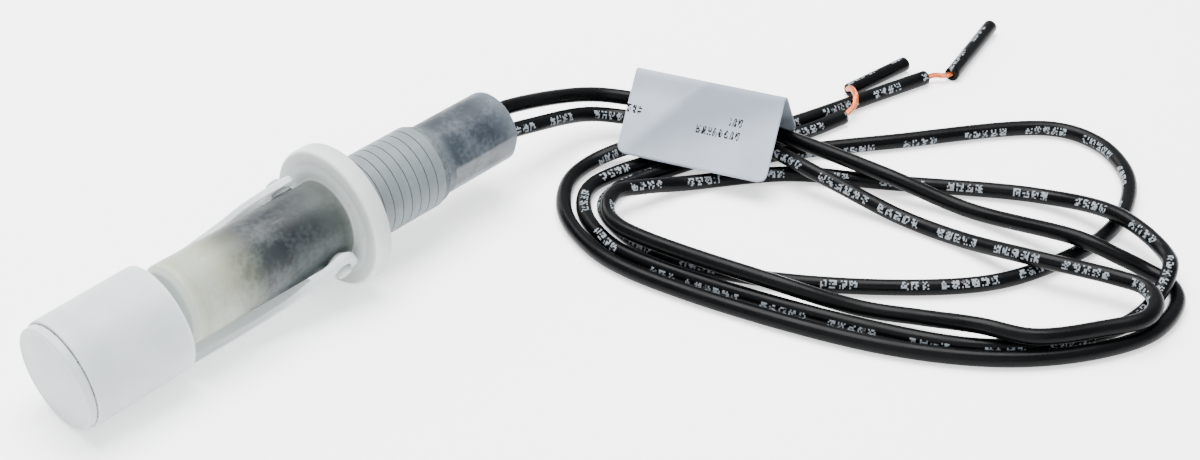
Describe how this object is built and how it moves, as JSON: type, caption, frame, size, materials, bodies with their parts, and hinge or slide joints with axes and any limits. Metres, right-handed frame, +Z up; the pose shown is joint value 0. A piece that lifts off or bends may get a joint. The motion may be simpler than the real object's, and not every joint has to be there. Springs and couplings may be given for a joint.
{
  "type": "float switch",
  "caption": "Side-mounted liquid level float switch with a threaded flanged stem, a hinged float and two flying leads.",
  "frame": {"origin": "centre of the flange's seating face, on the axis of the thread", "axes": "+X along the thread and the stem's tail towards the leads, -X towards the float, +Z up with the switch lying on a table; the hinge pins are turned 30 degrees about X from Y"},
  "size_m": [0.1999, 0.1252, 0.0248],
  "materials": {
    "stem_plastic": "natural translucent polypropylene, satin",
    "float_plastic": "milky white translucent polypropylene, satin",
    "ferrite": "dark grey sintered ferrite",
    "reed_glass": "clear greenish glass",
    "reed_metal": "tinned nickel iron",
    "solder": "dull solder",
    "bare_copper": "twisted bare copper strands",
    "wire_insulation": "black PVC insulation, satin, with a light printed marking",
    "potting_resin": "black casting resin",
    "label_paper": "white label paper, matt"
  },
  "bodies": {
    "stem": {"stem_body": "stem_plastic", "reed_glass": "reed_glass", "reed_lead_front": "reed_metal", "reed_lead_rear": "reed_metal", "return_lead": "reed_metal", "solder_joint_a": "solder", "solder_joint_b": "solder", "inner_core_a": "bare_copper", "inner_core_b": "bare_copper", "inner_wire_a": "wire_insulation", "inner_wire_b": "wire_insulation", "tail_potting": "potting_resin", "lead_a": "wire_insulation", "lead_b": "wire_insulation", "bare_strands_a": "bare_copper", "bare_strands_b": "bare_copper", "insulation_slug_a": "wire_insulation", "insulation_slug_b": "wire_insulation", "folded_label": "label_paper"},
    "float": {"float_shell": "float_plastic", "float_end_disc": "float_plastic", "float_magnet": "ferrite", "magnet_holder": "float_plastic"}
  },
  "joints": [
    {"name": "float_pivot", "type": "hinge", "parent": "stem", "child": "float", "pos_m": [-0.0075, 0, 0], "axis": [0, -0.866, -0.5], "range_deg": [-5.3, 32]}
  ]
}
